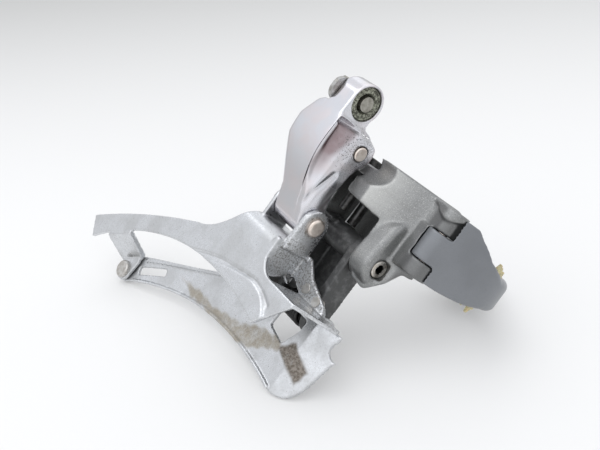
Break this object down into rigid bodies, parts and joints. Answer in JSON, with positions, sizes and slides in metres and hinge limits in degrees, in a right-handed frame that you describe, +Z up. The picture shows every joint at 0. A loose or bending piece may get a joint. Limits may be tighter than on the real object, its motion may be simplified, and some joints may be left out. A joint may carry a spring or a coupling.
{
  "type": "front derailleur",
  "caption": "Clamp-on bicycle front derailleur with a hinged seat tube band, a parallelogram of two links and a sprung steel chain cage.",
  "frame": {"origin": "centre of the seat tube clamp bore", "axes": "the attitude in which the derailleur lies on a flat surface: +Z up, +X along the longest extent from the tail of the cage towards the clamp"},
  "size_m": [0.1453, 0.0914, 0.0811],
  "materials": {
    "bracket_paint": "fine metallic grey paint",
    "band_paint": "smooth satin grey paint",
    "polished_alloy": "polished, lightly pitted",
    "cage_steel": "worn satin plating with grime and rust",
    "pin_steel": "turned, tarnished",
    "bolt_steel": "plated",
    "dark_screw": "dark bronze tarnish",
    "anchor_zinc": "rough zinc",
    "link_grey": "dark grey",
    "spring_black": "black oxide",
    "bush_plastic": "moulded",
    "tape": "aged adhesive tape"
  },
  "bodies": {
    "bracket": {"bracket_body": "bracket_paint", "clamp_hinge_pin": "pin_steel", "inner_pivot_screw": "dark_screw"},
    "band": {"clamp_band": "band_paint", "tape_scrap_upper": "tape", "tape_scrap_lower": "tape"},
    "clamp_bolt": {"clamp_bolt": "bolt_steel", "clamp_bolt_washer": "bolt_steel"},
    "low_limit_screw": {"low_limit_screw": "bolt_steel"},
    "high_limit_screw": {"high_limit_screw": "bolt_steel"},
    "outer_link": {"outer_link": "polished_alloy", "outer_link_pin": "pin_steel", "cable_anchor_insert": "anchor_zinc"},
    "cable_anchor_bolt": {"cable_anchor_bolt": "bolt_steel", "cable_anchor_washer": "bolt_steel"},
    "inner_link": {"inner_link": "link_grey"},
    "cage": {"cage_outer_plate": "cage_steel", "cage_inner_plate": "cage_steel", "cage_outer_pin": "pin_steel", "cage_outer_pin_clip": "spring_black", "cage_inner_pin": "pin_steel", "spring_bush": "bush_plastic", "return_spring": "spring_black", "cage_tail_rivet": "pin_steel", "cage_front_rivets": "pin_steel"}
  },
  "joints": [
    {"name": "outer_link_swing", "type": "hinge", "parent": "bracket", "child": "outer_link", "pos_m": [-0.02581, 0.00739, 0.03496], "axis": [-0.51, 0.8555, 0.0891], "range_deg": [0, 42], "stiffness_Nm_per_rad": 0.35, "springref_deg": -28.65},
    {"name": "inner_link_swing", "type": "hinge", "parent": "bracket", "child": "inner_link", "pos_m": [-0.02693, -0.00505, 0.00652], "axis": [-0.51, 0.8555, 0.0891], "range_deg": [0, 42]},
    {"name": "cage_carry", "type": "hinge", "parent": "outer_link", "child": "cage", "pos_m": [-0.04231, -0.00052, 0.01649], "axis": [-0.51, 0.8555, 0.0891], "range_deg": [-42, 0]},
    {"name": "band_open", "type": "hinge", "parent": "bracket", "child": "band", "pos_m": [-0.00757, -0.014, 0.01277], "axis": [-0.6347, -0.3044, -0.7102], "range_deg": [0, 60]},
    {"name": "clamp_bolt_draw", "type": "slide", "parent": "bracket", "child": "clamp_bolt", "axis": [-0.6778, 0.6607, 0.3226], "range_m": [0, 0.0301]},
    {"name": "low_limit_screw_travel", "type": "slide", "parent": "bracket", "child": "low_limit_screw", "axis": [0.6347, 0.3044, 0.7102], "range_m": [0, 0.004]},
    {"name": "high_limit_screw_travel", "type": "slide", "parent": "bracket", "child": "high_limit_screw", "axis": [0.6347, 0.3044, 0.7102], "range_m": [0, 0.004]},
    {"name": "cable_anchor_bolt_travel", "type": "slide", "parent": "outer_link", "child": "cable_anchor_bolt", "axis": [-0.51, 0.8555, 0.0891], "range_m": [0, 0.003]}
  ],
  "couplings": [
    {"joint": "inner_link_swing", "follows": "outer_link_swing", "ratio": 1},
    {"joint": "cage_carry", "follows": "outer_link_swing", "ratio": -1},
    {"joint": "clamp_bolt_draw", "follows": "band_open", "m_per_rad": 0.02865}
  ]
}
